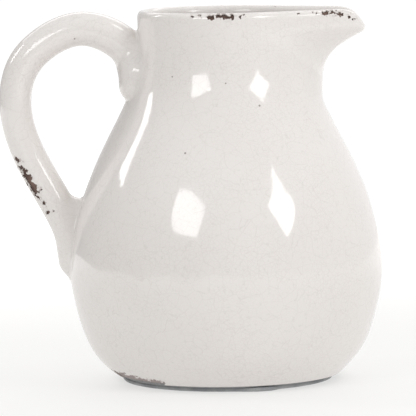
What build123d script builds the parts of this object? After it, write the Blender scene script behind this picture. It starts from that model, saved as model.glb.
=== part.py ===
from build123d import *
import math
import os

# A glazed stoneware jug, in millimetres, with +Z up. The origin is on the vessel's axis, in the
# plane that it stands on. The lip points to +X and the handle to -X. Brown clay makes the walls,
# and a white glaze coats them inside and out, so a wall is three solids that meet face to face.

# ---- Whole jug ----
HEIGHT = 230.0  # standing plane to the rim
GLAZE = 0.7  # thickness of each glaze coat
CLAY_WALL = 5.2
WALL = CLAY_WALL + 2 * GLAZE
FLOOR = 8.0  # clay floor with its coat
OVER_RIM = 8.0  # the walls run this far above the rim before the mouth is cut
FAR = 200.0  # further than any point of the jug is from its axis

# ---- Foot ring ----
FOOT_HEIGHT = 3.0
FOOT_RADIUS = 67.0
FOOT_INNER_RADIUS = 55.0
FOOT_CHAMFER = 1.2

# ---- Belly and neck ----
BASE_RADIUS = 69.6  # where the glazed wall leaves the foot
BELLY_RADIUS = 97.2
BELLY_LEVEL = 67.0
NECK_RADIUS = 53.5
NECK_LEVEL = 217.0
RIM_RADIUS = 53.7
NECK_SEAM = 168.0  # the neck was thrown apart and set on the shoulder here

# ---- Lip ----
LIP_START = 176.0  # the lip begins to leave the neck here
LIP_REACH = 89.3  # its tip, from the axis
LIP_TIP_LEVEL = 217.5
LIP_SPREAD = 24.0  # degrees round the neck over which the lip fades out
LIP_SHARPNESS = 1.4  # 1 gives a pointed lip in plan, 2 a round one
LIP_SEAM = 34.0  # the lip is luted to the neck in this plane across X

# ---- Handle ----
HANDLE_THICK = 20.5
HANDLE_WIDTH = 24.0
CROWN_X = -88.0
CROWN_LEVEL = HEIGHT - HANDLE_THICK / 2 - 0.3  # centre of the highest section
BOW_X = -129.3  # centre of the section that stands furthest out
BOW_LEVEL = 175.0

# ---- Fineness of the curved surfaces ----
PLAN_POINTS = 28
INSET_POINTS = 30

# Outside of the jug from the foot to above the rim: (distance from the axis, level).
BODY_OUTLINE = [
    (BASE_RADIUS, FOOT_HEIGHT),
    (81.0, 15.0),
    (91.6, 37.0),
    (BELLY_RADIUS, BELLY_LEVEL),
    (91.8, 105.0),
    (77.2, 142.0),
    (62.3, 171.0),
    (57.2, 186.0),
    (54.6, 201.0),
    (NECK_RADIUS, NECK_LEVEL),
    (RIM_RADIUS, HEIGHT + OVER_RIM),
]

# Underside of the lip in the jug's plane of symmetry: (distance from the axis, level).
LIP_OUTLINE = [
    (61.2, LIP_START),
    (61.4, 186.0),
    (64.4, 198.0),
    (74.0, 208.0),
    (LIP_REACH, LIP_TIP_LEVEL),
    (91.4, 223.0),
    (92.0, HEIGHT + OVER_RIM),
]

# Edge of the mouth seen from the side: level across the rim, then down over the tip of the lip.
MOUTH_LEVEL_END = 62.0
MOUTH_DROOP = [(79.0, 228.6), (85.8, 223.6), (LIP_REACH, LIP_TIP_LEVEL), (90.6, 212.0)]

# Sections of the handle from the neck to the belly: (x, level), (thickness seen from the side,
# width across). The first and the last are buried in the wall.
HANDLE_SECTIONS = [
    ((-50.0, 201.0), (24.0, 28.0)),
    ((-69.0, 214.2), (21.8, 26.0)),
    ((CROWN_X, CROWN_LEVEL), (21.5, 24.5)),
    ((-110.0, 211.2), (21.0, HANDLE_WIDTH)),
    ((-123.2, 198.0), (20.8, HANDLE_WIDTH)),
    ((BOW_X, BOW_LEVEL), (20.0, HANDLE_WIDTH)),
    ((-125.6, 152.5), (20.0, HANDLE_WIDTH)),
    ((-114.8, 128.6), (HANDLE_THICK, HANDLE_WIDTH)),
    ((-103.4, 106.5), (21.0, 26.0)),
    ((-97.0, 90.0), (20.5, 28.0)),
    ((-93.6, 76.0), (20.5, 28.0)),
    ((-86.0, 62.0), (18.0, 24.0)),
]

# Soft clay smeared round each end of the handle, as level ovals: (level, outermost x, half width).
UPPER_PAD_CENTRE = -44.0
UPPER_PAD = [
    (170.5, -59.0, 9.0),
    (176.0, -64.2, 17.0),
    (185.0, -66.2, 21.0),
    (196.0, -67.0, 22.5),
    (206.0, -68.0, 22.0),
    (215.0, -63.0, 18.0),
    (221.0, -55.0, 10.0),
]
LOWER_PAD_CENTRE = -68.0
LOWER_PAD = [
    (62.0, -95.5, 14.0),
    (70.0, -99.6, 26.0),
    (80.0, -101.2, 32.0),
    (92.0, -100.8, 32.0),
    (104.0, -98.0, 26.0),
    (114.0, -92.8, 15.0),
]


def side_spline(points, tangents=None):
    """A smooth curve in the plane of symmetry through (x, level) points."""
    return Spline([Vector(x, 0, level) for x, level in points], tangents=tangents)


def inset(curve, distance):
    """An outline of the wall moved by a distance towards the inside of the jug."""
    if distance == 0:
        return curve
    points = []
    for step in range(INSET_POINTS + 1):
        place = step / INSET_POINTS
        along = curve.tangent_at(place)
        inwards = Vector(-along.Z, 0, along.X)
        points.append(curve.position_at(place) + inwards * distance)
    return Spline(points)


def reach_at(curve, level):
    """How far from the axis a rising curve is at one level."""
    low, high = 0.0, 1.0
    for _ in range(40):
        middle = (low + high) / 2
        if curve.position_at(middle).Z < level:
            low = middle
        else:
            high = middle
    return curve.position_at(low).X


def spread(low, high, count):
    """Evenly spaced levels, both ends included."""
    return [low + (high - low) * step / (count - 1) for step in range(count)]


def plan_section(level, neck_radius, reach):
    """The closed outline at one level: a circle that runs out into the lip."""
    points = []
    for step in range(PLAN_POINTS):
        angle = 360 * step / PLAN_POINTS
        off_lip = min(angle, 360 - angle) / LIP_SPREAD
        lip_share = math.exp(-(off_lip**LIP_SHARPNESS))
        radius = neck_radius + (reach - neck_radius) * lip_share
        points.append(Vector(radius, 0, level).rotate(Axis.Z, angle))
    return Wire(Spline(points, periodic=True))


def envelope(distance, floor_level):
    """Everything inside the outside surface moved in by a distance, from a floor to above the rim."""
    body = inset(side_spline(BODY_OUTLINE), distance)
    lip = inset(side_spline(LIP_OUTLINE), distance)
    levels = [floor_level, floor_level + 3, floor_level + 8]
    levels += spread(floor_level + 16, LIP_START, 10)
    levels += spread(LIP_START + 7, HEIGHT + OVER_RIM - 1, 9)
    sections = []
    for level in levels:
        neck_radius = reach_at(body, level)
        reach = neck_radius
        if level > LIP_START:
            reach = max(reach_at(lip, level), neck_radius)
        sections.append(plan_section(level, neck_radius, reach))
    return Solid.make_loft(sections)


def above_mouth(lowered):
    """The space over the mouth's edge. It cuts the rim and the lip to shape."""
    level = HEIGHT - lowered
    back = lowered * math.sqrt(0.5)  # the drooping stretch moves down and in alike
    droop = [(x - back, z - back) for x, z in MOUTH_DROOP]
    edge = side_spline([(MOUTH_LEVEL_END, level)] + droop, tangents=[(1, 0, 0), (0.1, 0, -1)])
    end = edge.position_at(1)
    corners = [(FAR, end.Z), (FAR, 2 * FAR), (-FAR, 2 * FAR), (-FAR, level), (MOUTH_LEVEL_END, level)]
    around = Polyline([end] + [Vector(x, 0, z) for x, z in corners])
    return extrude(Face(Wire([edge] + around.edges())), amount=FAR, both=True, dir=(0, 1, 0))


def slab(low_level, high_level, from_x=-FAR):
    """All of space between two levels, or the part of it beyond an x."""
    size_x = FAR - from_x
    size_z = high_level - low_level
    box = Box(size_x, 2 * FAR, size_z, align=(Align.MIN, Align.CENTER, Align.MIN))
    return Pos(from_x, 0, low_level) * box


def foot_ring():
    """The bare clay ring that the jug stands on."""
    profile = Polyline(
        [
            (FOOT_INNER_RADIUS, 0, FOOT_HEIGHT),
            (FOOT_INNER_RADIUS + FOOT_CHAMFER, 0, 0),
            (FOOT_RADIUS - FOOT_CHAMFER, 0, 0),
            (FOOT_RADIUS, 0, FOOT_CHAMFER),
            (BASE_RADIUS - GLAZE, 0, FOOT_HEIGHT),
        ],
        close=True,
    )
    return revolve(Face(Wire(profile.edges())), Axis.Z)


def handle_bar(thinner):
    """The pulled handle: ovals square to the line of their centres, each smaller all round."""
    route = side_spline([centre for centre, _ in HANDLE_SECTIONS])
    sections = []
    for (x, level), (thick, wide) in HANDLE_SECTIONS:
        along = route.tangent_at(route.param_at_point((x, 0, level)))
        oval = Ellipse(wide / 2 - thinner, thick / 2 - thinner)
        sections.append(Plane(origin=(x, 0, level), x_dir=(0, 1, 0), z_dir=along) * oval)
    return loft(sections)


def pad(ovals, centre, thinner):
    """Clay smeared on to the wall round one end of the handle."""
    middle = (ovals[0][0] + ovals[-1][0]) / 2
    half_height = (ovals[-1][0] - ovals[0][0]) / 2
    sections = []
    for level, outermost, half_width in ovals:
        drawn_in = middle + (level - middle) * (1 - thinner / half_height)
        oval = Ellipse(centre - outermost - thinner, half_width - thinner)
        sections.append(Pos(centre, 0, drawn_in) * oval)
    return loft(sections)


def save(name, shape):
    solid = shape.solid()
    print(f"{name}: {solid.volume / 1000:.1f} cm3, valid {solid.is_valid}")
    export_step(solid, f"parts/{name}.step")


os.makedirs("parts", exist_ok=True)

inside_floor = FOOT_HEIGHT + FLOOR
outside = envelope(0, FOOT_HEIGHT)
outside_clay = envelope(GLAZE, FOOT_HEIGHT)
inside_clay = envelope(GLAZE + CLAY_WALL, inside_floor - GLAZE)
inside = envelope(WALL, inside_floor)
mouth = above_mouth(0)
clay_mouth = above_mouth(GLAZE)

# Clay walls: belly, neck and lip are luted together along level and upright planes.
clay = outside_clay - inside_clay - clay_mouth
collar = clay & slab(NECK_SEAM, 2 * FAR)
lip_side = slab(LIP_START + 2, 2 * FAR, LIP_SEAM)
save("foot_ring", foot_ring())
save("belly", clay & slab(-FAR, NECK_SEAM))
save("neck", collar - lip_side)
save("pouring_lip", collar & lip_side)

# Glaze coats: the liner fills the inside up to the clay's rim, and the outer coat laps over the rim.
clay_hollow = inside_clay - clay_mouth
save("liner_glaze", clay_hollow - inside)
save("body_glaze", outside - inside - mouth - clay - clay_hollow)

# Handle: a pulled bar luted on to the outer wall, with a pad of soft clay round each end.
bar = handle_bar(GLAZE)
upper_pad = pad(UPPER_PAD, UPPER_PAD_CENTRE, GLAZE)
lower_pad = pad(LOWER_PAD, LOWER_PAD_CENTRE, GLAZE)
coated = handle_bar(0) + pad(UPPER_PAD, UPPER_PAD_CENTRE, 0) + pad(LOWER_PAD, LOWER_PAD_CENTRE, 0)
save("handle", bar - outside)
save("upper_handle_joint", upper_pad - bar - outside)
save("lower_handle_joint", lower_pad - bar - outside)
save("handle_glaze", coated - bar - upper_pad - lower_pad - outside)

print(f"holds about {(inside - mouth).volume / 1e6:.2f} litres to the brim")
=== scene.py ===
import math

import bmesh
import bpy
import numpy as np
from mathutils import Matrix, Vector, noise


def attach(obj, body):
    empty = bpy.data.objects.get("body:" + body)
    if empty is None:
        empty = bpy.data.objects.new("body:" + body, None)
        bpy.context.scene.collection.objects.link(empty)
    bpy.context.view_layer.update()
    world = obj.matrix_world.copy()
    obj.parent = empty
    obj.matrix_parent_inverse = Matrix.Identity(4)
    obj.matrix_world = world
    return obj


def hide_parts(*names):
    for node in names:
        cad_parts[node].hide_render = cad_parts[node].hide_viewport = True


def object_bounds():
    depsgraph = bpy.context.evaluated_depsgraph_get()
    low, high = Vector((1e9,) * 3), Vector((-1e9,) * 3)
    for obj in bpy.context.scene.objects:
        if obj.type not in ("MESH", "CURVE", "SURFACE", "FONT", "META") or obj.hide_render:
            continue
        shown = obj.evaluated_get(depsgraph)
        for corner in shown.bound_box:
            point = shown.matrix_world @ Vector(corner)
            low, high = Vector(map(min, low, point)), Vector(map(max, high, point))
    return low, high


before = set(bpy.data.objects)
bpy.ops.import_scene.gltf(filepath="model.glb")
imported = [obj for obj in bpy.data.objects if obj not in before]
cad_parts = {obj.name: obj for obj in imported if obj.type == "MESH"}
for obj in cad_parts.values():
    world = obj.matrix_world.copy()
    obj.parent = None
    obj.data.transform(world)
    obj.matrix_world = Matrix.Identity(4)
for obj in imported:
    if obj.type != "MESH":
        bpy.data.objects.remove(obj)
cad_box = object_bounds()

# Shapes are worked out in millimetres, in the CAD frame, and made into meshes in metres.
MM = 0.001

# ---- Vessel ----
HEIGHT = 230.85  # of the mouth's edge, which is then rounded off
RIM_CUT = 0.4  # what the rounding takes off the edge
GLAZE = 0.7  # thickness of a coat
WALL = 6.6  # with both its coats
FLOOR_LEVEL = 11.0
FOOT_HEIGHT = 3.0
FOOT_ROUNDING = 1.0
BODY_OUTLINE = [  # (level, radius)
    (3.0, 69.5),
    (15.0, 80.8),
    (37.0, 91.4),
    (67.0, 97.0),
    (105.0, 91.6),
    (142.0, 77.0),
    (171.0, 62.2),
    (186.0, 56.5),
    (201.0, 53.5),
    (217.0, 53.0),
    (238.0, 53.2),
]
# The pouring lip, at +X: (level, distance of its nose from the axis).
LIP_OUTLINE = [(176.0, 61.2), (186.0, 61.4), (198.0, 64.2), (208.0, 73.8), (217.5, 91.5)]
LIP_CAP = 94.0  # it reaches no further than this
LIP_CAP_ROUNDING = 5.0
LIP_START = 165  # the level below which there is no lip
LIP_ROUNDING = 2.0  # where the lip leaves the neck
LIP_SPREAD = math.radians(21.5)  # how far round the neck it goes
LIP_SHARPNESS = 1.4
LIP_NOSE = math.radians(4.0)  # how blunt its nose is
DROOP_START = 66.0  # the mouth's edge falls beyond this distance along +X
DROOP_RATE = 8.2e-5
DROOP_POWER = 3.8
RIM_ROUNDING = 5.0
WALL_ROUNDING = 3.0
INSIDE_ROUNDING = 14.0
# The base's edge is worn back, most at this turn from -X towards -Y.
WORN_DEPTH = 2.6
WORN_TURN, WORN_SPREAD = math.radians(12), math.radians(26)
WORN_TOP, WORN_RANGE = 10.0, 7.5

# ---- Handle ----
# From the neck to the belly: (x, level), (thickness in the side view, width across).
HANDLE_SECTIONS = [
    ((-48.0, 195.3), (23.0, 24.0)),
    ((-69.0, 214.2), (22.2, 26.0)),
    ((-88.0, 219.3), (21.2, 24.5)),
    ((-110.0, 211.2), (21.0, 24.0)),
    ((-123.2, 198.0), (20.8, 24.0)),
    ((-129.3, 175.0), (19.8, 24.0)),
    ((-125.6, 152.5), (20.0, 24.0)),
    ((-114.8, 128.6), (20.5, 24.0)),
    ((-102.7, 106.5), (20.5, 26.0)),
    ((-96.4, 90.0), (20.0, 28.0)),
    ((-95.0, 82.0), (20.4, 27.0)),
    ((-94.4, 75.5), (19.8, 25.0)),
]
# Clay smeared at the handle's ends: centre, half sizes and squareness of a lump.
UPPER_PAD = ((-46.0, 0.0, 188.0), (18.9, 21.5, 15.0), 3.2)
UPPER_PAD_ROUNDING = 8.0
LOWER_WEB = ((-90.0, 0.0, 100.0), (11.0, 9.5, 14.0), 2.4)
LOWER_WEB_ROUNDING = 6.0
HANDLE_ROOT = 2.5  # the handle stops this far short of the jug's hollow
SEAM_ROUNDING = 2.6  # the handle meets the wall in a tight crease
TAIL_ROUNDING = 6.0  # its tail runs out more softly
TAIL_LEVEL = 92.0
TAIL_FADE = 20.0
# Outside this zone the handle is too far away to matter, and counts as FAR.
HANDLE_MAX_X, HANDLE_MAX_Y, HANDLE_MIN_Z = -36, 48, 32
FAR = 60.0


# ---------------------------------------------------------------- numbers and fields


def natural_spline(points):
    """A smooth function through (place, value) points, straight beyond its ends."""
    x, y = np.array(points, float).T
    count = len(x)
    step = np.diff(x)
    slope = np.diff(y) / step
    system = np.eye(count)
    right = np.zeros(count)
    for i in range(1, count - 1):
        system[i, i - 1 : i + 2] = step[i - 1], 2 * (step[i - 1] + step[i]), step[i]
        right[i] = 6 * (slope[i] - slope[i - 1])
    bend = np.linalg.solve(system, right)
    first = slope[0] - step[0] * bend[1] / 6
    last = slope[-1] + step[-1] * bend[-2] / 6

    def value(place):
        place = np.asarray(place, float)
        i = np.clip(np.searchsorted(x, place) - 1, 0, count - 2)
        h = step[i]
        a = (x[i + 1] - place) / h
        b = 1 - a
        curve = (a**3 - a) * bend[i] + (b**3 - b) * bend[i + 1]
        inside = a * y[i] + b * y[i + 1] + curve * h * h / 6
        below = y[0] + first * (place - x[0])
        above = y[-1] + last * (place - x[-1])
        return np.where(place < x[0], below, np.where(place > x[-1], above, inside))

    return value


def smooth_max(a, b, rounding):
    overlap = np.maximum(rounding - np.abs(a - b), 0) / rounding
    return np.maximum(a, b) + overlap**2 * rounding / 4


def smooth_min(a, b, rounding):
    return -smooth_max(-a, -b, rounding)


body_radius = natural_spline(BODY_OUTLINE)
lip_rise = natural_spline(LIP_OUTLINE)

WOBBLE = [  # slow unevenness of a hand-made wall: direction, wavelength in mm, phase
    ((0.9, 0.3, 0.3), 61.0, 0.4),
    ((-0.4, 0.8, 0.5), 47.0, 2.1),
    ((0.2, -0.5, 0.85), 38.0, 4.0),
    ((0.6, 0.6, -0.5), 29.0, 1.3),
    ((-0.7, 0.2, 0.7), 23.0, 5.2),
]
WOBBLE_DEPTH = 0.05


def wobble(p):
    total = np.zeros(len(p))
    for direction, wavelength, phase in WOBBLE:
        total += np.sin(p @ np.array(direction) * (2 * math.pi / wavelength) + phase)
    return WOBBLE_DEPTH * total


def worn_corner(turn, level):
    """How far the base's edge is worn back, low on the handle's side."""
    across = np.exp(-(((turn - WORN_TURN) / WORN_SPREAD) ** 2))
    return WORN_DEPTH * across * np.clip((WORN_TOP - level) / WORN_RANGE, 0, 1) ** 2


def outer_radius(angle, level):
    """Distance of the outside surface from the axis."""
    neck = body_radius(level)
    reach = smooth_min(lip_rise(level), LIP_CAP + 0 * level, LIP_CAP_ROUNDING)
    beyond = smooth_max(reach - neck, 0 * level, LIP_ROUNDING) * (level > LIP_START)
    off_lip = np.sqrt(angle**2 + LIP_NOSE**2) - LIP_NOSE
    return neck + beyond * np.exp(-((off_lip / LIP_SPREAD) ** LIP_SHARPNESS))


def outside_field(p):
    """About the distance outside the outer surface, as if the jug were solid and had no top."""
    radius = np.hypot(p[:, 0], p[:, 1])
    angle = np.abs(np.arctan2(p[:, 1], p[:, 0]))
    level = p[:, 2]
    surface = outer_radius(angle, level)
    step, turn_step = 0.5, 0.01
    rise = (outer_radius(angle, level + step) - surface) / step
    turn = (outer_radius(angle + turn_step, level) - surface) / turn_step / np.maximum(radius, 20)
    worn = worn_corner(np.arctan2(-p[:, 1], -p[:, 0]), level)
    return (radius - surface) / np.sqrt(1 + rise**2 + turn**2) + wobble(p) + worn


def mouth_field(p):
    """About the height above the mouth's edge, which droops over the tip of the lip."""
    past = np.maximum(p[:, 0] - DROOP_START, 0)
    edge = HEIGHT - DROOP_RATE * past**DROOP_POWER
    fall = DROOP_RATE * DROOP_POWER * past ** (DROOP_POWER - 1)
    return (p[:, 2] - edge) / np.sqrt(1 + fall**2)


def vessel_field(p, coat=0.0):
    """(wall and floor without the handle, hollow), with the surface moved in by a coat."""
    outside = outside_field(p)
    hollow = smooth_max(outside + WALL - coat, FLOOR_LEVEL - coat - p[:, 2], INSIDE_ROUNDING)
    solid = smooth_max(outside + coat, FOOT_HEIGHT - p[:, 2], FOOT_ROUNDING)
    wall = smooth_max(solid, -hollow, WALL_ROUNDING)
    return smooth_max(wall, mouth_field(p) + coat + RIM_CUT, RIM_ROUNDING), hollow


def handle_route():
    """The handle's x, level and two half sizes as functions of the way along it, and its length."""
    centres = np.array([c for c, _ in HANDLE_SECTIONS])
    sizes = np.array([s for _, s in HANDLE_SECTIONS]) / 2
    along = np.concatenate([[0], np.cumsum(np.hypot(*np.diff(centres, axis=0).T))])
    parts = [natural_spline(list(zip(along, values))) for values in (*centres.T, *sizes.T)]
    return parts, along[-1]


ROUTE, ROUTE_LENGTH = handle_route()
ROUTE_STEPS = np.linspace(0, ROUTE_LENGTH, 160)
ROUTE_POINTS = np.stack([ROUTE[0](ROUTE_STEPS), ROUTE[1](ROUTE_STEPS)], 1)


def bar_field(p):
    """About the distance outside the handle's bar."""
    side = p[:, [0, 2]]
    place = np.empty(len(p))
    batch = 20000
    for start in range(0, len(p), batch):
        part = side[start : start + batch]
        gaps = ((part[:, None] - ROUTE_POINTS[None]) ** 2).sum(2)
        place[start : start + batch] = ROUTE_STEPS[gaps.argmin(1)]
    step = 0.2
    for _ in range(3):
        here = np.stack([ROUTE[0](place), ROUTE[1](place)], 1)
        ahead = np.stack([ROUTE[0](place + step), ROUTE[1](place + step)], 1)
        direction = (ahead - here) / step
        place = place + ((side - here) * direction).sum(1) / (direction**2).sum(1)
        place = np.clip(place, 0, ROUTE_LENGTH)
    here = np.stack([ROUTE[0](place), ROUTE[1](place)], 1)
    across = np.sqrt(((side - here) ** 2).sum(1))
    thick, wide = ROUTE[2](place), ROUTE[3](place)
    return oval_distance(across / thick, p[:, 1] / wide, 0 * across, (thick, wide, thick))


def oval_distance(a, b, c, sizes):
    """About the distance outside an ellipsoid, from coordinates in units of its half sizes."""
    far = np.sqrt(a * a + b * b + c * c) + 1e-9
    slope = np.sqrt((a / sizes[0]) ** 2 + (b / sizes[1]) ** 2 + (c / sizes[2]) ** 2) / far
    return (far - 1) / np.maximum(slope, 1e-3)


def pad_field(p, pad):
    """About the distance outside a lump of clay."""
    centre, sizes, power = pad
    unit_place = np.abs((p - np.array(centre)) / np.array(sizes)) + 1e-6
    far = (unit_place**power).sum(1) ** (1 / power)
    steepness = (unit_place / far[:, None]) ** (power - 1) / np.array(sizes)
    return (far - 1) / np.linalg.norm(steepness, axis=1)


def handle_field(p, hollow):
    """The handle with its smeared ends, kept out of the hollow of the jug."""
    bar = bar_field(p)
    bar = smooth_min(bar, pad_field(p, UPPER_PAD), UPPER_PAD_ROUNDING)
    bar = smooth_min(bar, pad_field(p, LOWER_WEB), LOWER_WEB_ROUNDING)
    return smooth_max(bar, HANDLE_ROOT - hollow, 1.0)


def jug_fields(p, coat=0.0):
    """(whole jug, vessel alone, handle alone, hollow), with the surface moved in by a coat."""
    vessel, hollow = vessel_field(p, coat)
    handle = np.full(len(p), FAR)
    near = (p[:, 0] < HANDLE_MAX_X) & (np.abs(p[:, 1]) < HANDLE_MAX_Y) & (p[:, 2] > HANDLE_MIN_Z)
    if near.any():
        handle[near] = handle_field(p[near], hollow[near]) + coat
    fade = np.clip((TAIL_LEVEL - p[:, 2]) / TAIL_FADE, 0, 1)
    rounding = SEAM_ROUNDING + (TAIL_ROUNDING - SEAM_ROUNDING) * fade * fade * (3 - 2 * fade)
    return smooth_min(vessel, handle, rounding), vessel, handle, hollow


def jug_field(p):
    return jug_fields(p)[0]


def clay_field(p):
    """The clay under the glaze."""
    return jug_fields(p, GLAZE)[0]


def slopes(field, p, step=0.05):
    """Gradient of a field at points."""
    columns = []
    for axis in range(3):
        shift = np.zeros(3)
        shift[axis] = step
        columns.append((field(p + shift) - field(p - shift)) / (2 * step))
    return np.stack(columns, 1)


def settle(field, p, target=0.0, rounds=3):
    """Moves points on to the surface where the field has the target value."""
    for _ in range(rounds):
        gradient = slopes(field, p)
        size = np.maximum((gradient**2).sum(1), 0.05)
        p = p - gradient * ((field(p) - target) / size)[:, None]
    return p


def clear_checkers(values):
    """Takes samples in until no face of the grid has its corners alternately in and out."""
    found = True
    while found:
        found = False
        for first, second in ((0, 1), (0, 2), (1, 2)):
            inside = values < 0
            shifts = np.zeros((4, 3), int)
            shifts[1:3, first] = 1
            shifts[2:4, second] = 1
            spans = np.array(values.shape) - np.eye(3, dtype=int)[[first, second]].sum(0)
            windows = [tuple(slice(k, k + n) for k, n in zip(shift, spans)) for shift in shifts]
            a, b, c, d = (inside[window] for window in windows)
            for spot in np.argwhere((a == c) & (b == d) & (a != b)):
                corners = [tuple(spot + shift) for shift in shifts]
                outer = [k for k in corners if values[k] >= 0]
                if len(outer) == 2:
                    nearest = min(outer, key=lambda k: values[k])
                    values[nearest] = -max(values[nearest], 1e-3)
                    found = True
    return values


def surface_net(field, low, high, step):
    """Vertices and quads of the surface where a field is zero, from a grid of cells."""
    axes = [np.arange(a, b + step, step) for a, b in zip(low, high)]
    grid = np.stack(np.meshgrid(*axes, indexing="ij"), -1)
    shape = grid.shape[:3]
    values = clear_checkers(field(grid.reshape(-1, 3)).reshape(shape))
    inside = values < 0
    cells = tuple(n - 1 for n in shape)
    total = np.zeros(cells + (3,))
    hits = np.zeros(cells)
    crossings = []
    for axis in range(3):
        others = [i for i in range(3) if i != axis]
        near = [slice(None)] * 3
        far = [slice(None)] * 3
        near[axis], far[axis] = slice(0, -1), slice(1, None)
        near, far = tuple(near), tuple(far)
        crossing = inside[near] != inside[far]
        change = np.where(crossing, values[near] - values[far], 1)
        share = np.where(crossing, values[near] / change, 0)
        point = grid[near].copy()
        point[..., axis] += share * step
        point *= crossing[..., None]
        for shift_a in (0, 1):
            for shift_b in (0, 1):
                cut = [slice(None)] * 3
                cut[others[0]] = slice(shift_a, shift_a + cells[others[0]])
                cut[others[1]] = slice(shift_b, shift_b + cells[others[1]])
                total += point[tuple(cut)]
                hits += crossing[tuple(cut)]
        crossings.append((crossing, inside[near], others))
    used = hits > 0
    number = np.full(cells, -1)
    number[used] = np.arange(used.sum())
    vertices = total[used] / hits[used][:, None]
    quads = []
    for axis, (crossing, first_inside, others) in enumerate(crossings):
        spots = np.argwhere(crossing)
        spots = spots[(spots[:, others] > 0).all(1)]
        spots = spots[(spots[:, others] < np.array(cells)[others]).all(1)]
        flip = first_inside[tuple(spots.T)] ^ (axis == 1)
        corner = []
        for shift_a, shift_b in ((1, 1), (0, 1), (0, 0), (1, 0)):
            cell = spots.copy()
            cell[:, others[0]] -= shift_a
            cell[:, others[1]] -= shift_b
            corner.append(number[tuple(cell.T)])
        corner = np.stack(corner, 1)
        quads.append(np.where(flip[:, None], corner, corner[:, ::-1]))
    return vertices, np.concatenate(quads)


# ---------------------------------------------------------------- chips in the glaze

# Each chip is a stroke on one face of the jug, seen square to it: the side that the face is on
# (-1 for the one towards -Y, 1 for the one towards +Y), (x, level) points and a half width.
RIM_CHIP = [(-8.4, 228.3), (-5.6, 227.7), (-2.8, 228.4), (0.4, 228.1), (3.4, 228.0), (6.0, 227.8)]
CHIPS = [
    # the rim's near edge
    (-1, RIM_CHIP, 1.4),
    (-1, [(-6.6, 227.0), (-5.2, 226.7)], 0.8),
    (-1, [(-14.9, 228.1), (-13.9, 228.5)], 0.65),
    (-1, [(12.0, 228.7), (12.6, 228.2)], 0.5),
    (-1, [(9.8, 227.8), (10.2, 227.2)], 0.4),
    # the lip's near edge
    (-1, [(62.8, 228.1), (66.0, 227.6), (69.5, 227.9), (73.0, 227.0)], 1.05),
    (-1, [(77.3, 225.6), (77.4, 225.4)], 0.95),
    (-1, [(81.0, 223.8), (81.4, 223.4)], 0.35),
    # crumbs on the rim
    (-1, [(-18.9, 228.5), (-18.2, 228.3)], 0.4),
    (-1, [(46.0, 228.7), (47.2, 228.3)], 0.1),
    (-1, [(55.2, 228.9), (57.0, 228.6)], 0.1),
    # down the outside of the handle
    (-1, [(-129.3, 140.2), (-128.2, 138.6)], 0.7),
    (-1, [(-126.6, 139.1), (-126.1, 138.6)], 0.45),
    (-1, [(-127.6, 134.6), (-125.6, 133.4), (-124.4, 131.6)], 1.3),
    (-1, [(-124.0, 131.4), (-122.4, 128.0), (-120.7, 124.4)], 2.0),
    (-1, [(-120.4, 124.0), (-119.0, 120.6), (-117.4, 118.6)], 1.85),
    (-1, [(-119.2, 123.8), (-117.4, 122.4), (-116.0, 122.2), (-114.5, 121.0)], 0.7),
    (-1, [(-115.9, 116.3), (-114.9, 113.9)], 0.9),
    (-1, [(-112.3, 112.4), (-111.2, 110.9)], 0.55),
    (-1, [(-111.3, 111.3), (-110.7, 112.2)], 0.35),
    (-1, [(-110.9, 106.1), (-109.4, 106.7), (-107.6, 106.7)], 0.5),
    # wear of the same kind out of sight
    (1, [(-24.0, 228.0), (-20.5, 227.7), (-18.6, 228.1)], 1.0),
    (1, [(31.0, 228.0), (33.6, 227.7)], 0.8),
    (1, [(-124.6, 134.0), (-122.0, 129.5)], 1.1),
    (1, [(-116.4, 117.6), (-115.2, 115.4)], 0.8),
]
# The glaze is scuffed off down to the foot between two turns from -X towards -Y.
SCUFF_TURNS = math.radians(19), math.radians(57)
SCUFF_TOPS = 9.8, 6.4  # its top level at each
SCUFF_RADIUS = 67  # of the jug there
SCUFF_LIMIT = 20  # it is only looked for below this level
BARE_LEVEL = 4.1  # below this the outside was never glazed
NO_CHIP = 50.0  # distance that stands for no chip near
RAGGED = [(2.6, 0.9), (1.1, 0.7)]  # size and depth of the raggedness of a chip's edge, in mm


def ragged(p, size):
    return np.array([noise.noise(Vector(q)) for q in (p / size).tolist()])


def stroke_distance(p, points):
    """Distance in the side view from a line of (x, level) points."""
    side = p[:, [0, 2]]
    nearest = np.full(len(p), 1e3)
    for a, b in zip(points, points[1:]):
        a, b = np.array(a), np.array(b)
        along = np.clip(((side - a) @ (b - a)) / ((b - a) @ (b - a)), 0, 1)
        nearest = np.minimum(nearest, np.linalg.norm(side - a - along[:, None] * (b - a), axis=1))
    return nearest


def chip_field(p, rough=True):
    """Below zero where the glaze is chipped away, and about the distance from the nearest chip."""
    nearest = np.full(len(p), NO_CHIP)
    for side, points, width in CHIPS:
        here = p[:, 1] * side > 0
        nearest[here] = np.minimum(nearest[here], stroke_distance(p[here], points) - width)
    # below 200 only the handle is chipped, and above it only the outside of the mouth
    inside = np.where(p[:, 2] < 200, p[:, 0] > -100, np.hypot(p[:, 0], p[:, 1]) < 50)
    nearest[inside] = NO_CHIP
    low_down = np.flatnonzero(p[:, 2] < SCUFF_LIMIT)
    if len(low_down):
        low_down = low_down[vessel_field(p[low_down])[1] > 2]
    q = p[low_down]
    start, end = SCUFF_TURNS
    first_top, last_top = SCUFF_TOPS
    turn = np.arctan2(-q[:, 1], -q[:, 0])
    share = np.clip((turn - start) / (end - start), 0, 1)
    beside = SCUFF_RADIUS * (np.abs(turn - (start + end) / 2) - (end - start) / 2)
    above = q[:, 2] - (first_top + (last_top - first_top) * share)
    beyond = np.hypot(np.maximum(beside, 0), np.maximum(above, 0))
    scuffed = np.where((beside < 0) & (above < 0), np.maximum(beside, above), beyond)
    nearest[low_down] = np.minimum(nearest[low_down], scuffed)
    if rough:
        close = nearest < 3
        for size, depth in RAGGED:
            nearest[close] += 2 * depth * ragged(p[close], size)
    return nearest


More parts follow.
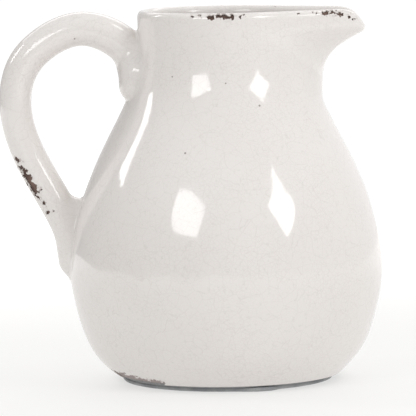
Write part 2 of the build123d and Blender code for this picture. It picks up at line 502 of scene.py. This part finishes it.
# ---------------------------------------------------------------- meshes


def sides_of(edge):
    """The numbers of the two faces at an edge."""
    return [edge.link_faces[0].index, edge.link_faces[-1].index]


class Skin:
    """A mesh that lies on the surface of a field, in mm."""

    def __init__(self, field, low, high, step):
        self.field = field
        vertices, quads = surface_net(field, low, high, step)
        self.bm = bmesh.new()
        made = [self.bm.verts.new(v) for v in vertices.tolist()]
        for quad in quads.tolist():
            self.bm.faces.new([made[i] for i in quad])
        self.read()
        self.relax(3)

    def read(self):
        """Copies the mesh into arrays."""
        self.bm.verts.index_update()
        self.points = np.array([v.co[:] for v in self.bm.verts])
        self.edges = np.array([[v.index for v in e.verts] for e in self.bm.edges])

    def write(self):
        """Puts the vertices where the array has them."""
        for v, co in zip(self.bm.verts, self.points.tolist()):
            v.co = co

    def relax(self, rounds, movable=None):
        """Evens out the mesh along its surface."""
        both = np.concatenate([self.edges, self.edges[:, ::-1]])
        size = len(self.points)
        count = np.maximum(np.bincount(both[:, 0], minlength=size), 1)[:, None]
        for _ in range(rounds):
            near = [np.bincount(both[:, 0], self.points[both[:, 1], i], size) for i in range(3)]
            goal = 0.4 * self.points + 0.6 * np.stack(near, 1) / count
            if movable is not None:
                goal = np.where(movable[:, None], goal, self.points)
            changed = np.arange(size) if movable is None else np.flatnonzero(movable)
            self.points[changed] = settle(self.field, goal[changed], rounds=1)
        self.write()

    def refine(self, wanted):
        """Halves the edges whose two ends are both wanted."""
        chosen = wanted(self.points)
        both = chosen[self.edges].all(1)
        edges = [e for e, yes in zip(self.bm.edges, both) if yes]
        before = len(self.points)
        bmesh.ops.subdivide_edges(self.bm, edges=edges, cuts=1, use_grid_fill=True)
        self.read()
        fresh = np.zeros(len(self.points), bool)
        fresh[before:] = True
        self.points[fresh] = settle(self.field, self.points[fresh], rounds=2)
        touched = fresh | (wanted(self.points) & (np.arange(len(self.points)) < before))
        self.relax(1, touched)

    def finish(self):
        """Puts every vertex on the surface."""
        self.points = settle(self.field, self.points, rounds=3)
        self.write()

    def centres(self):
        return np.array([f.calc_center_median()[:] for f in self.bm.faces])

    def tidy_labels(self, labels, least):
        """Relabels faces until no patch of a label pinches to a point or is smaller than least."""
        self.bm.faces.index_update()
        verts = list(self.bm.verts)
        beside = []
        for face in self.bm.faces:
            beside.append([f.index for e in face.edges for f in e.link_faces if f is not face])
        sides = np.array([sides_of(e) for e in self.bm.edges])
        ends = np.array([[v.index for v in e.verts] for e in self.bm.edges])
        for _ in range(6):
            # patches that are too small go to the label around them
            small = False
            split = labels[sides[:, 0]] != labels[sides[:, 1]]
            for start in np.unique(sides[split]):
                patch, stack = {start}, [start]
                while stack and len(patch) < least:
                    for f in beside[stack.pop()]:
                        if f not in patch and labels[f] == labels[start]:
                            patch.add(f)
                            stack.append(f)
                if len(patch) < least:
                    own = labels[start]
                    found = [labels[f] for i in patch for f in beside[i] if labels[f] != own]
                    if found:
                        labels[list(patch)] = max(sorted(set(found)), key=found.count)
                        small = True
            # where a patch pinches to a point the highest label there takes all the faces round it
            pinched = True
            while pinched:
                pinched = False
                split = labels[sides[:, 0]] != labels[sides[:, 1]]
                for k in np.unique(ends[split]):
                    around = [f.index for f in verts[k].link_faces]
                    for label in {labels[i] for i in around}:
                        own = [labels[sides_of(e)] == label for e in verts[k].link_edges]
                        if sum(one != other for one, other in own) > 2:
                            labels[around] = max(labels[i] for i in around)
                            pinched = True
                            break
            if not small:
                break

    def snap(self, labels, label, measure):
        """Moves the edge of a label's patch on to measure's zero line."""
        border = np.zeros(len(self.points), bool)
        for v in self.bm.verts:
            present = {labels[f.index] for f in v.link_faces}
            border[v.index] = len(present) == 2 and label in present
        p = self.points[border]
        for _ in range(3):
            normal = slopes(self.field, p)
            normal /= np.linalg.norm(normal, axis=1)[:, None]
            slope = slopes(measure, p, 0.08)
            slope -= (slope * normal).sum(1)[:, None] * normal
            move = -slope * (measure(p) / np.maximum((slope**2).sum(1), 0.15))[:, None]
            length = np.linalg.norm(move, axis=1)[:, None]
            p = p + move * np.minimum(1, 0.2 / np.maximum(length, 1e-9))
        self.points[border] = settle(self.field, p, rounds=2)
        self.write()


def unit(vectors):
    return vectors / np.maximum(np.linalg.norm(vectors, axis=1), 1e-9)[:, None]


def make_object(name, points, polygons, normals=None):
    """An object from points in mm. normals has one for each corner, zeros for the face's own."""
    mesh = bpy.data.meshes.new(name)
    mesh.from_pydata((points * MM).tolist(), [], polygons)
    mesh.update()
    mesh.polygons.foreach_set("use_smooth", np.ones(len(polygons), bool))
    if normals is not None:
        mesh.normals_split_custom_set(normals.tolist())
    piece = bpy.data.objects.new(name, mesh)
    bpy.context.scene.collection.objects.link(piece)
    return piece


STAIN_REACH = 0.55  # how fast the stain beside a chip fades, in mm


def glaze_shell(name, skin, keep):
    """A closed coat of glaze under the kept faces of a skin, down to the clay."""
    faces = [f for f, yes in zip(skin.bm.faces, keep) if yes]
    corners = [[v.index for v in f.verts] for f in faces]
    used = np.unique(np.concatenate([np.array(c) for c in corners]))
    number = np.full(len(skin.points), -1)
    number[used] = np.arange(len(used))
    top = skin.points[used]
    under = settle(clay_field, top, rounds=4)
    count = len(used)
    sides = {}
    outer = [[int(number[i]) for i in c] for c in corners]
    for c in outer:
        for a, b in zip(c, c[1:] + c[:1]):
            if (b, a) in sides:
                del sides[b, a]
            else:
                sides[a, b] = True
    walls = [[b, a, a + count, b + count] for a, b in sides]
    inner = [[i + count for i in reversed(c)] for c in outer]
    polygons = outer + inner + walls
    out = unit(slopes(skin.field, top))
    down = -unit(slopes(clay_field, under))
    both = np.concatenate([out, down])
    flat = np.concatenate([np.array(c) for c in outer + inner])
    normals = np.concatenate([both[flat], np.zeros((4 * len(walls), 3))])
    piece = make_object(name, np.concatenate([top, under]), polygons, normals)
    # how near a chip it is, from 0 to 1, for the stain round the chip
    worn = np.exp(-np.maximum(chip_field(top), 0) / STAIN_REACH)
    layer = piece.data.attributes.new("worn", "FLOAT", "POINT")
    layer.data.foreach_set("value", np.concatenate([worn, worn]).astype(np.float32))
    return piece


# The whole glazed surface, fine where it curves tightly and finest at the chips.
SKIN_STEP, WALL_STEP, HANDLE_STEP = 2.3, 2.1, 1.9  # size of the grids' cells
MARGIN = 3
LOW, HIGH = np.array(cad_box[0]) / MM - MARGIN, np.array(cad_box[1]) / MM + MARGIN
skin = Skin(jug_field, LOW, HIGH, SKIN_STEP)


def tight(p, size):
    """(where the surface curves with a radius of a few mm, the handle's field)"""
    _, vessel, handle, hollow = jug_fields(p)
    rim = np.abs(mouth_field(p)) < 5.0 * size
    seam = (np.abs(vessel - handle) < 5.0 * size) & (p[:, 2] > 84)
    base = (p[:, 2] < 3 + 5 * size) & (hollow > 2)
    return rim | seam | base, handle


def first_pass(p):
    near, handle = tight(p, 1.3)
    return near | (handle < 2.0) | (chip_field(p, False) < 6)


skin.refine(first_pass)
skin.refine(lambda p: tight(p, 0.7)[0] | (chip_field(p, False) < 3.5))
skin.refine(lambda p: chip_field(p, False) < 2.0)


# Each coat of glaze ends where one of these is zero, and lies where it is below zero.


def liner_line(p):
    return vessel_field(p)[1] - 1.2


def handle_line(p):
    _, vessel, handle, _ = jug_fields(p)
    return handle - vessel


def missing_line(p):
    """Below zero where the glaze is chipped away, or was never put on, at the foot."""
    above_foot = np.where(vessel_field(p)[1] > 2, p[:, 2] - BARE_LEVEL, NO_CHIP)
    return np.minimum(chip_field(p), above_foot)


skin.finish()
centres = skin.centres()
BODY, LINER, HANDLE, BARE = range(4)
labels = np.where(handle_line(centres) < 0, HANDLE, BODY)
labels[missing_line(centres) < 0] = BARE
labels[liner_line(centres) < 0] = LINER
skin.tidy_labels(labels, 8)  # a flake of fewer faces is left out
skin.snap(labels, LINER, liner_line)
skin.snap(labels, HANDLE, handle_line)
skin.snap(labels, BARE, missing_line)

glaze_body = glaze_shell("glaze_body", skin, labels == BODY)
glaze_liner = glaze_shell("glaze_liner", skin, labels == LINER)
glaze_handle = glaze_shell("glaze_handle", skin, labels == HANDLE)

# ---- The clay under it ----


def pitted(p):
    """The clay's surface is eaten a little deeper where a chip lays it bare."""
    bare = np.zeros(len(p))
    near = chip_field(p, False) < 4
    if near.any():
        q = p[near]
        bare[near] = 0.16 + 0.2 * ragged(q, 1.1) + 0.12 * ragged(q, 0.5)
    return bare


def wall_field(p):
    return vessel_field(p, GLAZE)[0]


def handle_clay_field(p):
    """The handle's clay, which ends just outside the wall's clay."""
    whole, vessel, handle, _ = jug_fields(p, GLAZE)
    return smooth_max(smooth_max(whole, 0.05 - vessel, 1.5), handle - 0.8, 1.0)


def clay_body(name, field, low, high, step):
    """A closed body of clay, fine where the chips lay it bare."""
    clay = Skin(field, low, high, step)
    for reach in (6, 4, 2.5):
        clay.refine(lambda p: chip_field(p, False) < reach)
    clay.finish()
    base = clay.points
    normals = unit(slopes(field, base))
    clay.points = base - normals * pitted(base)[:, None]
    polygons = [[v.index for v in f.verts] for f in clay.bm.faces]
    return make_object(name, clay.points, polygons)


WALL_LOW = LOW + (40, 0, 0)
HANDLE_HIGH = (-30.0, 48.0, HIGH[2])
clay_wall = clay_body("clay_wall", wall_field, WALL_LOW, HIGH, WALL_STEP)
clay_handle = clay_body("clay_handle", handle_clay_field, LOW, HANDLE_HIGH, HANDLE_STEP)

# ---- The unglazed foot ring ----
FOOT_PROFILE = [
    (55.6, 3.0), (55.1, 2.4), (55.3, 1.1), (56.2, 0.35), (57.6, 0.1), (60.5, 0.05),
    (63.2, 0.1), (64.6, 0.4), (65.3, 1.2), (65.5, 2.2), (65.2, 3.0),
]
FOOT_STEPS = 480
FOOT_MIDDLE = 61  # wear moves both sides of the ring towards this radius
SMEAR_FROM = 60  # the smear moves what is beyond this radius
FOOT_TOP = 2.9  # above this the ring is joined to the jug and isn't worn
FOOT_SMEAR = 4.0  # clay squeezed out at one place on the front
SMEAR_TURN, SMEAR_HALF = 287, 9  # where, in degrees from +X towards +Y


def smear(turn):
    """From 0 to 1 where clay is squeezed out of the foot."""
    off = math.degrees(turn) - SMEAR_TURN
    rise = 1 / (1 + math.exp(-(off + SMEAR_HALF) / 2))
    return rise / (1 + math.exp((off - SMEAR_HALF) / 1.5))


foot_points, foot_faces = [], []
for i in range(FOOT_STEPS):
    turn = 2 * math.pi * i / FOOT_STEPS
    for radius, level in FOOT_PROFILE:
        spot = Vector((radius * math.cos(turn), radius * math.sin(turn), level))
        worn = 0.12 * noise.noise(spot / 3) + 0.08 * noise.noise(spot / 1.2)
        side = 0.0 if level > FOOT_TOP else worn
        lift = 0.0 if level > FOOT_TOP else 0.05 + 0.35 * worn
        shrink = (radius - abs(side) * (1 if radius > FOOT_MIDDLE else -1)) / radius
        if radius > SMEAR_FROM:
            shrink += FOOT_SMEAR * smear(turn) / radius
        foot_points.append((spot.x * shrink, spot.y * shrink, max(0.0, level + lift)))
rows = len(FOOT_PROFILE)
for i in range(FOOT_STEPS):
    after = (i + 1) % FOOT_STEPS
    for j in range(rows):
        up = (j + 1) % rows
        foot_faces.append([i * rows + j, i * rows + up, after * rows + up, after * rows + j])
foot = make_object("foot", np.array(foot_points), foot_faces)


# ---------------------------------------------------------------- materials


def set_range(node, start, end, low=0.0, high=1.0):
    """Sets what a Map Range node takes to what."""
    names = ("From Min", "From Max", "To Min", "To Max")
    for name, number in zip(names, (start, end, low, high)):
        node.inputs[name].default_value = number


class Nodes:
    """Short hands for building a node tree."""

    def __init__(self, name):
        self.material = bpy.data.materials.new(name)
        self.material.use_nodes = True
        self.tree = self.material.node_tree
        self.shader = self.tree.nodes["Principled BSDF"]
        self.place = self.tree.nodes.new("ShaderNodeTexCoord").outputs["Object"]

    def new(self, kind, **values):
        node = self.tree.nodes.new(kind)
        for key, value in values.items():
            setattr(node, key, value)
        return node

    def link(self, source, target):
        self.tree.links.new(source, target)

    def put(self, value, socket):
        """Links a socket's value, or sets a number."""
        if hasattr(value, "links"):
            self.link(value, socket)
        else:
            socket.default_value = value

    def math(self, operation, a, b=0.0, c=0.0):
        node = self.new("ShaderNodeMath", operation=operation)
        for value, socket in zip((a, b, c), node.inputs):
            self.put(value, socket)
        return node.outputs[0]

    def noise(self, scale, detail=3.0, roughness=0.5, place=None):
        node = self.new("ShaderNodeTexNoise")
        node.inputs["Scale"].default_value = scale
        node.inputs["Detail"].default_value = detail
        node.inputs["Roughness"].default_value = roughness
        self.link(place or self.place, node.inputs["Vector"])
        return node.outputs["Fac"]

    def band(self, value, start, end, low=0.0, high=1.0):
        """value taken from start..end to low..high, and held there beyond."""
        node = self.new("ShaderNodeMapRange", interpolation_type="SMOOTHSTEP")
        set_range(node, start, end, low, high)
        self.link(value, node.inputs["Value"])
        return node.outputs["Result"]

    def mix(self, share, a, b):
        node = self.new("ShaderNodeMix", data_type="RGBA")
        self.put(share, node.inputs["Factor"])
        for key, value in (("A", a), ("B", b)):
            socket = [s for s in node.inputs if s.name == key and s.type == "RGBA"][0]
            self.put(value if hasattr(value, "links") else (*value, 1.0), socket)
        return [s for s in node.outputs if s.type == "RGBA"][0]

    def bump(self, height, strength, distance):
        node = self.new("ShaderNodeBump")
        node.inputs["Strength"].default_value = strength
        node.inputs["Distance"].default_value = distance
        self.link(height, node.inputs["Height"])
        self.link(node.outputs["Normal"], self.shader.inputs["Normal"])


def crackle(n, scale, width, bend):
    """1 on the fine cracks of a crazed glaze, 0 between them."""
    wander = n.new("ShaderNodeTexNoise")
    wander.inputs["Scale"].default_value = scale * 0.9
    wander.inputs["Detail"].default_value = 2.0
    n.link(n.place, wander.inputs["Vector"])
    shift = n.new("ShaderNodeVectorMath", operation="MULTIPLY_ADD")
    n.link(wander.outputs["Color"], shift.inputs[0])
    shift.inputs[1].default_value = (bend, bend, bend)
    n.link(n.place, shift.inputs[2])
    cells = n.new("ShaderNodeTexVoronoi", feature="DISTANCE_TO_EDGE")
    cells.inputs["Scale"].default_value = scale
    n.link(shift.outputs[0], cells.inputs["Vector"])
    return n.band(cells.outputs["Distance"], 0.0, width, 1.0, 0.0)


# Iron specks fired into the glaze: a place near the surface and a radius, in mm.
SPECKS = [
    ((21.0, -56.0, 173.6), 0.9),
    ((-24.5, -71.5, 147.5), 0.9),
    ((-44.8, -42.9, 164.0), 0.8),
    ((-31.0, -44.4, 191.5), 0.7),
    ((1.0, -55.2, 187.6), 0.7),
    ((-91.5, -11.0, 213.5), 0.8),
]


def glaze_material():
    """White glaze, crazed and clouded, with specks and with stain round the chips."""
    n = Nodes("crackle_glaze")
    fine = crackle(n, 390.0, 0.06, 0.001)
    wide = n.math("MULTIPLY", crackle(n, 120.0, 0.022, 0.004), 0.8)
    patchy = n.noise(38.0, 3.0)
    fine = n.math("MULTIPLY", fine, n.band(patchy, 0.36, 0.62, 0.25, 1.0))
    cracks = n.math("MAXIMUM", n.math("MULTIPLY", fine, 0.8), wide)
    cloud = n.noise(16.0, 4.0, 0.55)
    base = n.mix(cloud, (0.797, 0.757, 0.729), (0.852, 0.818, 0.794))
    mottle = n.band(n.noise(420.0, 2.0), 0.55, 0.8, 0.0, 0.35)
    mottled = n.mix(mottle, base, (0.66, 0.63, 0.59))
    crazed = n.mix(n.math("MULTIPLY", cracks, 0.2), mottled, (0.42, 0.37, 0.33))
    spot = None
    centres = settle(jug_field, np.array([centre for centre, _ in SPECKS]), rounds=8)
    for centre, (_, radius) in zip(centres, SPECKS):
        away = n.new("ShaderNodeVectorMath", operation="DISTANCE")
        n.link(n.place, away.inputs[0])
        away.inputs[1].default_value = (centre * MM).tolist()
        dark = n.band(away.outputs["Value"], 0.3 * radius * MM, radius * MM, 1.0, 0.0)
        spot = dark if spot is None else n.math("MAXIMUM", spot, dark)
    specked = n.mix(n.math("MULTIPLY", spot, 0.85), crazed, (0.2, 0.16, 0.14))
    worn = n.new("ShaderNodeAttribute", attribute_name="worn").outputs["Fac"]
    stain = n.band(worn, 0.25, 1.0, 0.0, 0.5)
    colour = n.mix(stain, specked, (0.36, 0.29, 0.25))
    n.link(colour, n.shader.inputs["Base Color"])
    rough = n.math("MULTIPLY_ADD", cracks, 0.12, n.band(n.noise(60.0), 0.3, 0.7, 0.03, 0.06))
    n.link(rough, n.shader.inputs["Roughness"])
    n.shader.inputs["IOR"].default_value = 1.5
    ripple = n.math("MULTIPLY", n.noise(190.0, 2.0), 0.3)
    relief = n.math("SUBTRACT", ripple, n.math("MULTIPLY", cracks, 0.25))
    n.bump(n.math("SUBTRACT", relief, n.math("MULTIPLY", spot, 0.6)), 0.25, 0.00012)
    return n.material


def clay_material(name, dark, light, dusty):
    """Fired clay in two browns, with a dusty, scuffed colour low on the jug."""
    n = Nodes(name)
    grain = n.noise(900.0, 4.0, 0.7)
    cloud = n.noise(160.0, 3.0)
    colour = n.mix(n.band(cloud, 0.35, 0.65), dark, light)
    colour = n.mix(n.band(grain, 0.5, 0.75, 0.0, 0.5), colour, [v * 0.55 for v in dark])
    split = n.new("ShaderNodeSeparateXYZ")
    n.link(n.place, split.inputs[0])
    high = n.math("MULTIPLY_ADD", n.noise(300.0), 0.0016, split.outputs["Z"])
    dusted = n.band(high, 0.012, 0.02, 1.0, 0.0)
    dust = n.mix(n.band(grain, 0.35, 0.7), dusty, [v * 0.72 for v in dusty])
    colour = n.mix(dusted, colour, dust)
    # the lowest few mm are as grey as the foot, partly the bare clay's own colour and partly
    # painted shade along the base
    low_grey_and_shade = n.band(high, 0.0052, 0.0068, 1.0, 0.0)
    foot_grey_and_shade = n.mix(n.band(grain, 0.35, 0.7), (0.31, 0.315, 0.32), (0.2, 0.2, 0.2))
    colour = n.mix(low_grey_and_shade, colour, foot_grey_and_shade)
    n.link(colour, n.shader.inputs["Base Color"])
    n.link(n.band(grain, 0.3, 0.7, 0.72, 0.92), n.shader.inputs["Roughness"])
    n.bump(n.math("ADD", grain, cloud), 0.6, 0.0002)
    return n.material


def foot_material():
    """Grey, smudged bare clay."""
    n = Nodes("unglazed_foot")
    grain = n.noise(700.0, 4.0, 0.7)
    smudge = n.noise(70.0, 4.0)
    colour = n.mix(n.band(smudge, 0.35, 0.65), (0.27, 0.28, 0.29), (0.40, 0.405, 0.41))
    colour = n.mix(n.band(grain, 0.5, 0.8, 0.0, 0.6), colour, (0.16, 0.155, 0.15))
    n.link(colour, n.shader.inputs["Base Color"])
    n.link(n.band(grain, 0.3, 0.7, 0.7, 0.9), n.shader.inputs["Roughness"])
    n.bump(grain, 0.5, 0.00015)
    return n.material


glaze = glaze_material()
clay = clay_material(
    "dark_clay",
    dark=(0.098, 0.058, 0.048),
    light=(0.185, 0.12, 0.10),
    dusty=(0.43, 0.365, 0.35),
)
for piece, material, slot, nodes in (
    (glaze_body, glaze, "glaze", ["body_glaze"]),
    (glaze_liner, glaze, "glaze", ["liner_glaze"]),
    (glaze_handle, glaze, "glaze", ["handle_glaze"]),
    (clay_wall, clay, "clay", ["belly", "neck", "pouring_lip"]),
    (clay_handle, clay, "clay", ["handle", "upper_handle_joint", "lower_handle_joint"]),
    (foot, foot_material(), "bare_clay", ["foot_ring"]),
):
    piece.data.materials.append(material)
    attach(piece, "root")
    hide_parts(*nodes)


# ---------------------------------------------------------------- floor, light and camera


def floor_material():
    n = Nodes("studio_floor")
    colour = n.mix(n.noise(3.0, 2.0), (0.29, 0.29, 0.286), (0.31, 0.31, 0.306))
    n.link(colour, n.shader.inputs["Base Color"])
    # a softly lit table, as studios use for small things, running out to white
    n.shader.inputs["Emission Color"].default_value = (1.0, 0.995, 0.985, 1.0)
    away = n.new("ShaderNodeVectorMath", operation="LENGTH")
    n.link(n.place, away.inputs[0])
    glow = n.band(away.outputs["Value"], 0.15, 1.2, 0.6, 0.93)
    n.link(glow, n.shader.inputs["Emission Strength"])
    n.shader.inputs["Roughness"].default_value = 0.6
    n.shader.inputs["Specular IOR Level"].default_value = 0.1
    return n.material


FLOOR_REACH = 1.5  # from the axis, in metres
FLOOR_DEPTH = -0.02  # in mm, just clear of the foot
corners = [(-1, -1), (1, -1), (1, 1), (-1, 1)]
spots = [(x * FLOOR_REACH / MM, y * FLOOR_REACH / MM, FLOOR_DEPTH) for x, y in corners]
floor = make_object("floor", np.array(spots), [[0, 1, 2, 3]])
floor.data.materials.append(floor_material())


def aim_at(thing, place, aim, turn):
    """Puts a light or camera at a place, facing aim, and turned about its axis by turn degrees."""
    facing = (Vector(aim) - Vector(place)).to_track_quat("-Z", "Y").to_matrix()
    turned = facing @ Matrix.Rotation(math.radians(turn), 3, "Z")
    thing.matrix_world = Matrix.Translation(place) @ turned.to_4x4()


def softbox(name, place, size, turn, power, aim=(0.0, 0.0, 0.11)):
    """A rectangular light that faces the jug."""
    data = bpy.data.lights.new(name, "AREA")
    data.shape = "RECTANGLE"
    data.size, data.size_y = size
    data.energy = power
    lamp = bpy.data.objects.new(name, data)
    bpy.context.scene.collection.objects.link(lamp)
    aim_at(lamp, place, aim, turn)


# Places and sizes in metres, turns in degrees, powers in watts.
softbox("left_light", (-0.54, -0.925, 0.655), (0.43, 0.285), -7.0, 2.6)
softbox("right_light", (0.78, -0.73, 0.68), (0.34, 0.32), 34.0, 2.7)
softbox("side_light", (-1.09, 0.29, 0.80), (0.17, 0.40), 0.0, 1.9)
softbox("top_light", (0.57, 0.05, 1.35), (0.30, 0.20), 0.0, 0.9)
softbox("back_light", (0.0, 1.35, 1.2), (2.6, 0.7), 0.0, 9.0, (0.0, 1.25, 0.0))

# The studio's walls, darker behind the camera and on the left, under a pale ceiling. The camera
# itself sees plain white.
SKY = [(0.0, 0.36), (0.3, 0.44), (0.6, 0.74), (1.0, 0.98)]  # from -Y, behind the camera, to +Y
CEILING = 1.02
BACKDROP = 1.05
world = bpy.data.worlds.new("studio")
bpy.context.scene.world = world
world.use_nodes = True
tree = world.node_tree
tree.nodes.clear()
place = tree.nodes.new("ShaderNodeTexCoord")
split = tree.nodes.new("ShaderNodeSeparateXYZ")
tree.links.new(place.outputs["Generated"], split.inputs[0])
spread = tree.nodes.new("ShaderNodeMapRange")
set_range(spread, -1.0, 1.0)
tree.links.new(split.outputs["Y"], spread.inputs["Value"])
ramp = tree.nodes.new("ShaderNodeValToRGB")
tree.links.new(spread.outputs["Result"], ramp.inputs["Fac"])
while len(ramp.color_ramp.elements) < len(SKY):
    ramp.color_ramp.elements.new(0.5)
for element, (position, level) in zip(ramp.color_ramp.elements, SKY):
    element.position = position
    element.color = (level, level, level, 1.0)
sideways = tree.nodes.new("ShaderNodeMapRange")
sideways.interpolation_type = "SMOOTHSTEP"
set_range(sideways, -0.95, 0.35, 0.1, 1.34)
tree.links.new(split.outputs["X"], sideways.inputs["Value"])
walls = tree.nodes.new("ShaderNodeMath")
walls.operation = "MULTIPLY"
tree.links.new(ramp.outputs["Color"], walls.inputs[0])
tree.links.new(sideways.outputs[0], walls.inputs[1])
height = tree.nodes.new("ShaderNodeMapRange")
height.interpolation_type = "SMOOTHSTEP"
set_range(height, 0.25, 0.85)
tree.links.new(split.outputs["Z"], height.inputs["Value"])
dome = tree.nodes.new("ShaderNodeMix")
dome.data_type = "FLOAT"
tree.links.new(height.outputs["Result"], dome.inputs["Factor"])
tree.links.new(walls.outputs[0], dome.inputs["A"])
dome.inputs["B"].default_value = CEILING
around = tree.nodes.new("ShaderNodeBackground")
tree.links.new(dome.outputs["Result"], around.inputs["Strength"])
plain = tree.nodes.new("ShaderNodeBackground")
plain.inputs["Color"].default_value = (1.0, 1.0, 1.0, 1.0)
plain.inputs["Strength"].default_value = BACKDROP
seen = tree.nodes.new("ShaderNodeLightPath")
choose = tree.nodes.new("ShaderNodeMixShader")
tree.links.new(seen.outputs["Is Camera Ray"], choose.inputs[0])
tree.links.new(around.outputs[0], choose.inputs[1])
tree.links.new(plain.outputs[0], choose.inputs[2])
out = tree.nodes.new("ShaderNodeOutputWorld")
tree.links.new(choose.outputs[0], out.inputs["Surface"])

# The photograph was taken from a little above, through a long lens.
camera_data = bpy.data.cameras.new("camera")
camera_data.lens = 363.6
camera_data.sensor_width = 36.0
camera_data.clip_start, camera_data.clip_end = 0.1, 60.0
camera = bpy.data.objects.new("camera", camera_data)
bpy.context.scene.collection.objects.link(camera)
bpy.context.scene.camera = camera
aim_at(camera, (-0.0109, -2.6, 0.36), (-0.0109, 0.0, 0.1066), -0.9)

bpy.context.scene.view_settings.view_transform = "Standard"
bpy.context.scene.view_settings.look = "None"
